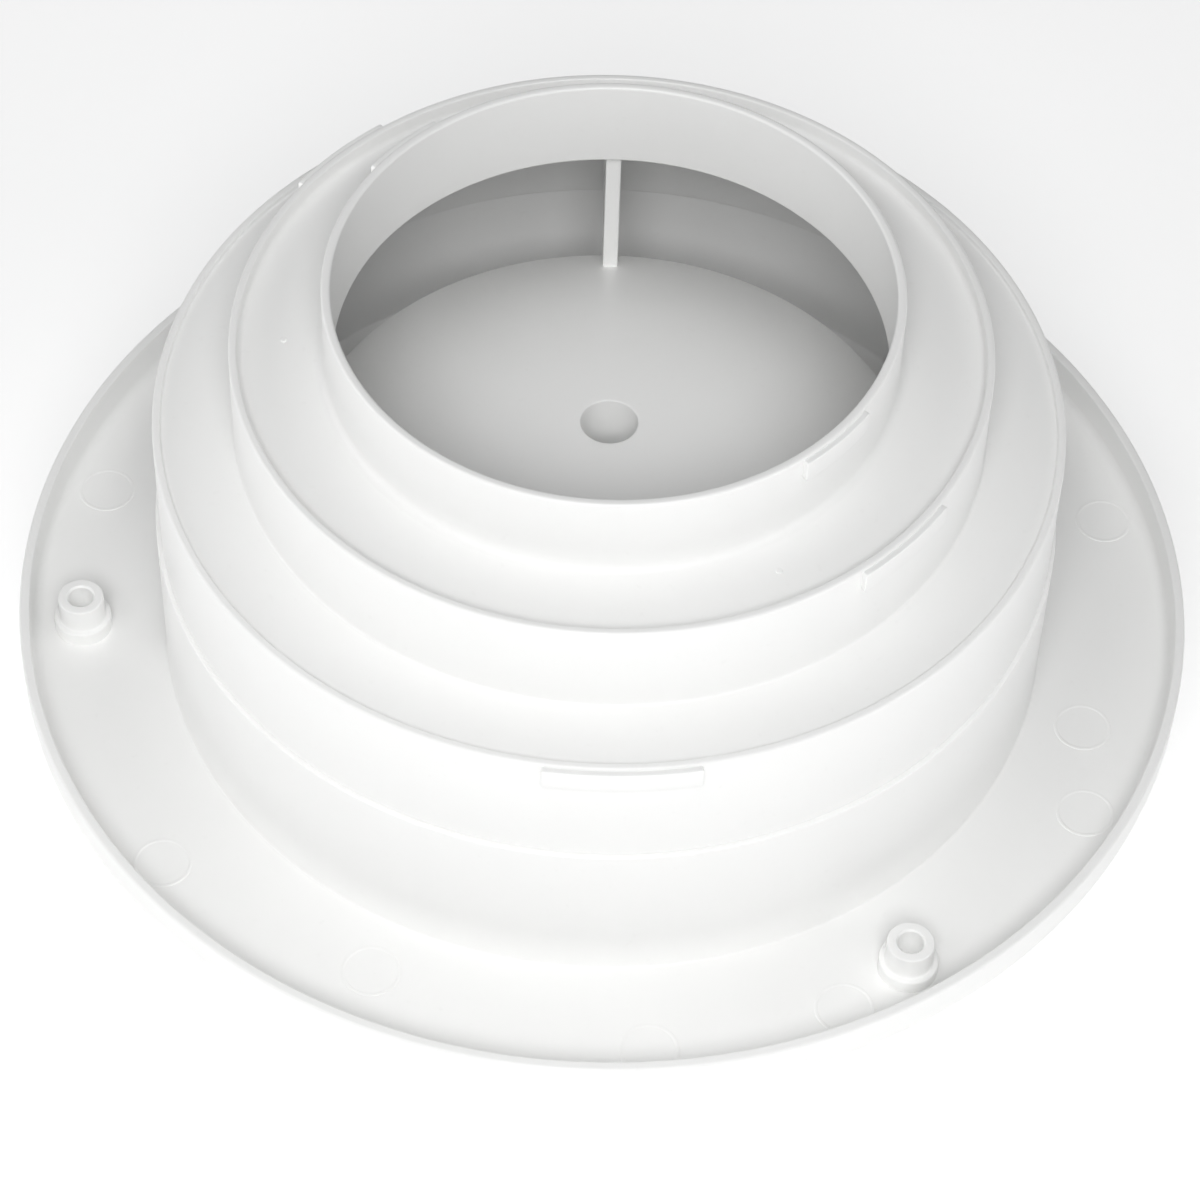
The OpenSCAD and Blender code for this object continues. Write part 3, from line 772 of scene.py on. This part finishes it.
def make_guard(finish):
    """Snap-in frame with upright bars across the mouth."""
    low, high = box_mm("mouth_guard")
    width, height = high.x - low.x, high.z - low.z
    front, depth = high.y, high.y - low.y
    wall, corner = 1.8, 9.95
    sections = []
    for y, grow in ((front - depth, -0.35), (front - depth + 0.35, 0.0), (front - 0.5, 0.0),
                    (front - 0.15, -0.15), (front, -0.5)):
        sections.append(arch(width, height, corner, low.z, y, grow))
    inner = []
    for y, grow in ((front, 0.4), (front - 0.15, 0.1), (front - 0.5, 0.0), (front - depth + 0.35, 0.0),
                    (front - depth, 0.3)):
        inner.append(arch(width - 2 * wall, height - 2 * wall, corner - wall, low.z + wall, y, grow))
    sections += inner
    points, faces = lofted(sections + [sections[0]], closed_ends=False)
    rim = make_piece("guard_rim", [(points, faces)], finish)
    bars, thickness = 7, 1.6
    pitch = width / (bars + 1)
    bar_low, bar_high = low.z + 0.6, high.z - 0.6
    outline = softened([(-thickness / 2, front - depth + 0.5, 0.3), (thickness / 2, front - depth + 0.5, 0.3),
                        (thickness / 2, front - 0.5, 0.7), (-thickness / 2, front - 0.5, 0.7)])
    bar = make_piece("bar", [lofted([[(x, y, z) for x, y in outline] for z in (bar_low, bar_high)])], finish)
    fence = repeated("bars", bar, finish, bars, first_place=(-width / 2 + pitch, 0, 0),
                     place_step=(pitch, 0, 0))
    return cut(rim, [fence], "UNION")


# ---------------------------------------------------------------- swivel, screws and screen

def make_glide_ring(finish):
    ring_r = collar_r + seat_gap
    outline = softened([
        (ring_r, face_z - collar_h, 0.25), (ring_r + 1.4, face_z - collar_h, 0.4),
        (ring_r + 1.4, face_z - 1, 0.3),
        (cowl_r, face_z - 1, 0.3), (cowl_r, face_z - seat_gap, 0.3), (ring_r, face_z - seat_gap, 0.2)])
    return make_piece("glide_ring_skin", [turned(outline, 256)], finish)


def make_flat_washer(finish):
    low, high = box_mm("flat_washer")
    outline = softened([(washer_bore_r, low.z, 0.08), (screw_head_r, low.z, 0.12),
                        (screw_head_r, high.z, 0.12), (washer_bore_r, high.z, 0.08)])
    return make_piece("flat_washer_skin", [turned(outline, 96)], finish)


def make_wave_washer(finish):
    low, high = box_mm("wave_washer")
    strip = 0.4
    outline = softened([(screw_head_r, low.z, 0.08), (screw_head_r, low.z + strip, 0.12),
                        (washer_bore_r, high.z, 0.12), (washer_bore_r, high.z - strip, 0.08)])
    return make_piece("wave_washer_skin", [turned(outline, 96)], finish)


def cross_recess(radius, width, low, high, finish):
    """Cutters for a cross recess, tapered to its foot."""
    tools = []
    for turn in (0, 90):
        c, s = math.cos(math.radians(turn)), math.sin(math.radians(turn))
        sections = []
        for z, long, wide in ((low, radius * 0.45, width * 0.7), (high, radius, width)):
            flat = [(-long, -wide / 2), (long, -wide / 2), (long, wide / 2), (-long, wide / 2)]
            sections.append([(x * c - y * s, x * s + y * c, z) for x, y in flat])
        tools.append(make_piece("recess", [lofted(sections)], finish))
    return tools


def thread(radius, pitch, low, high, depth=0.22):
    """Rounded outline of a fine thread: its crests are rings one pitch apart."""
    count = int((high - low) / pitch)
    outline = []
    for i in range(count):
        z = low + i * pitch
        outline += [(radius - depth, z), (radius, z + pitch * 0.35), (radius, z + pitch * 0.5),
                    (radius - depth, z + pitch * 0.85)]
    return outline


def make_pivot_screw(finish):
    low, high = box_mm("pivot_screw")
    radius, head_r, head_h = 1.75, screw_head_r, 2.6
    head_z = high.z - head_h
    dome = [(head_r * math.cos(math.radians(a)), head_z + head_h * (0.45 + 0.55 * math.sin(math.radians(a))))
            for a in range(6, 90, 6)]
    outline = ([(0, low.z), (radius - 0.5, low.z)] + thread(radius, 0.6, low.z + 0.4, low.z + 11)
               + softened([(radius, low.z + 11.2), (radius, head_z, 0.12), (head_r, head_z, 0.15),
                           (head_r, head_z + head_h * 0.4)])[1:]
               + dome + [(0, head_z + head_h)])
    outline = [point for i, point in enumerate(outline) if i == 0 or point != outline[i - 1]]
    screw = make_piece("pivot_screw_skin", [turned(outline, 72)], finish)
    return cut(screw, cross_recess(2.0, 0.9, head_z + 1.0, high.z + 0.2, finish))


def make_screen_screws(finish):
    low, high = box_mm("screen_screws")
    head_r, head_h, radius = 2.0, 1.5, 1.1
    outline = ([(0, low.z), (head_r * 0.6, low.z), (head_r * 0.88, low.z + 0.2), (head_r, low.z + 0.55)]
               + softened([(head_r, low.z + 0.6), (head_r, low.z + head_h, 0.15),
                           (radius, low.z + head_h, 0.1), (radius, low.z + head_h + 1)])[1:-1]
               + thread(radius, 0.7, low.z + head_h + 0.6, high.z - 0.8, depth=0.15)
               + [(radius - 0.4, high.z), (0, high.z)])
    screw = make_piece("screw", [turned(outline, 36)], finish)
    cut(screw, cross_recess(1.2, 0.5, low.z + 0.9, low.z - 0.1, finish))
    for vertex in screw.data.vertices:
        vertex.co.x += screen_screw_circle_r * MM
    return repeated("screen_screws_skin", screw, finish, 3, first_angle=30, angle_step=120)


def make_insert(finish):
    """Brass insert with two knurled bands and a plain bore."""
    low, high = box_mm("threaded_insert")
    bore, radius = 1.8, 2.8
    outline = softened([(bore, low.z, 0.15), (radius, low.z, 0.25),
                        (radius, high.z, 0.15), (bore, high.z, 0.2)])
    body = make_piece("insert_body", [turned(outline, 72)], finish)
    bands = [body]
    for start in (1.2, 4.4):
        z0, z1 = low.z + start, low.z + start + 1.8
        tooth = [(radius - 0.1, -0.16), (radius + 0.28, -0.03), (radius + 0.28, 0.03), (radius - 0.1, 0.16)]
        sections = []
        for z, k in ((z0, 0.0), (z0 + 0.25, 1.0), (z1 - 0.25, 1.0), (z1, 0.0)):
            sections.append([(radius - 0.1 + (x - radius + 0.1) * k, y, z) for x, y in tooth])
        rib = make_piece("rib", [lofted(sections)], finish)
        bands.append(repeated("knurls", rib, finish, 36, angle_step=10))
    return join("threaded_insert_skin", bands, finish)


def make_screen_frame(finish):
    """Ring, hub and spokes that hold the insect screen."""
    low, high = box_mm("screen_frame")
    outer, ring_w, hub, mesh_t = high.x, 6.0, 6.9, 0.6
    rebate_r = bore_r - 4.2
    ring = softened([
        (outer - ring_w, low.z, 0.3), (outer, low.z, 0.3), (outer, high.z, 0.3), (rebate_r, high.z, 0.1),
        (rebate_r, high.z - mesh_t, 0.05), (outer - ring_w, high.z - mesh_t, 0.2)])
    boss = softened([
        (hub, low.z, 0.3), (hub + 3, low.z, 0.3), (hub + 3, high.z - mesh_t, 0.2),
        (hub + 1.4, high.z - mesh_t, 0.05),
        (hub + 1.4, high.z, 0.1), (hub, high.z, 0.3)])
    body = make_piece("screen_rings", [turned(ring, 192), turned(boss, 96)], finish)
    tools = []
    for angle in screen_screw_angles:
        turn = math.radians(angle)
        place = (screen_screw_circle_r * math.cos(turn), screen_screw_circle_r * math.sin(turn))
        hole = [(0, low.z - 1), (1.3, low.z - 1), (1.3, high.z + 1), (0, high.z + 1)]
        tools.append(make_piece("hole", [turned(hole, 24, place)], finish))
    cut(body, tools)
    outline = softened([(-1, low.z, 0.3), (1, low.z, 0.3),
                        (1, high.z - mesh_t, 0.2), (-1, high.z - mesh_t, 0.2)])
    spoke = make_piece("spoke", [lofted([[(x, y, z) for y, z in outline]
                                         for x in (hub + 1.5, outer - ring_w + 0.8)])], finish)
    spokes = repeated("spokes", spoke, finish, 6, angle_step=60)
    return cut(body, [spokes], "UNION")


def make_screen(finish):
    """Woven wire cloth: wires cross over and under each other."""
    low, high = box_mm("insect_screen")
    outer, inner = high.x - 0.2, 8.6
    middle, pitch, wire_r = (low.z + high.z) / 2, 2.2, 0.13
    lift = wire_r * 0.95
    count = int(outer / pitch)
    points, edges = [], []
    for across in (False, True):
        for i in range(-count, count + 1):
            offset = i * pitch
            far = math.sqrt(max(outer ** 2 - offset ** 2, 0.0))
            near = math.sqrt(inner ** 2 - offset ** 2) if abs(offset) < inner else 0.0
            runs = [(-far, -near), (near, far)] if near > 0 else [(-far, far)]
            for start, end in runs:
                if end - start < pitch:
                    continue
                steps = max(2, int(round((end - start) / (pitch / 2))))
                for k in range(steps + 1):
                    along = start + (end - start) * k / steps
                    phase = math.cos(math.pi * (along / pitch + i + (1 if across else 0)))
                    z = middle + lift * phase
                    x, y = (offset, along) if across else (along, offset)
                    points.append((x * MM, y * MM, z * MM))
                    if k:
                        edges.append((len(points) - 2, len(points) - 1))
    mesh = bpy.data.meshes.new("insect_screen_skin")
    mesh.from_pydata(points, edges, [])
    cloth = bpy.data.objects.new("insect_screen_skin", mesh)
    bpy.context.scene.collection.objects.link(cloth)
    return grown(cloth, WIRES, finish, Wire_radius=wire_r * MM)


# ---------------------------------------------------------------- the object

make_camera(elevation=50.38, roll=-2.04, distance=0.55, target=(-0.0004, -0.0134, 0.05), lens=120.5)
make_stage()

FINISHES = make_finishes()
REPEAT = repeat_tree()
WIRES = wire_tree()

PIECES = (
    (make_neck, "stepped_neck", "base", "white_abs"),
    (make_base, "deck_base", "base", "white_abs"),
    (make_baffle, "weather_baffle", "base", "white_abs"),
    (make_screen_frame, "screen_frame", "base", "guard_abs"),
    (make_screen, "insect_screen", "base", "mesh_steel"),
    (make_screen_screws, "screen_screws", "base", "stainless"),
    (make_glide_ring, "glide_ring", "base", "acetal"),
    (make_flat_washer, "flat_washer", "base", "stainless"),
    (make_wave_washer, "wave_washer", "base", "stainless"),
    (make_cowl, "cowl_hood", "cowl", "white_abs"),
    (make_guard, "mouth_guard", "cowl", "guard_abs"),
    (make_insert, "threaded_insert", "cowl", "brass"),
    (make_pivot_screw, "pivot_screw", "cowl", "stainless"),
)
for make, node, body, slot in PIECES:
    piece = make(FINISHES[slot])
    piece.name = node + "_skin"
    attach(piece, body)
    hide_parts(node)
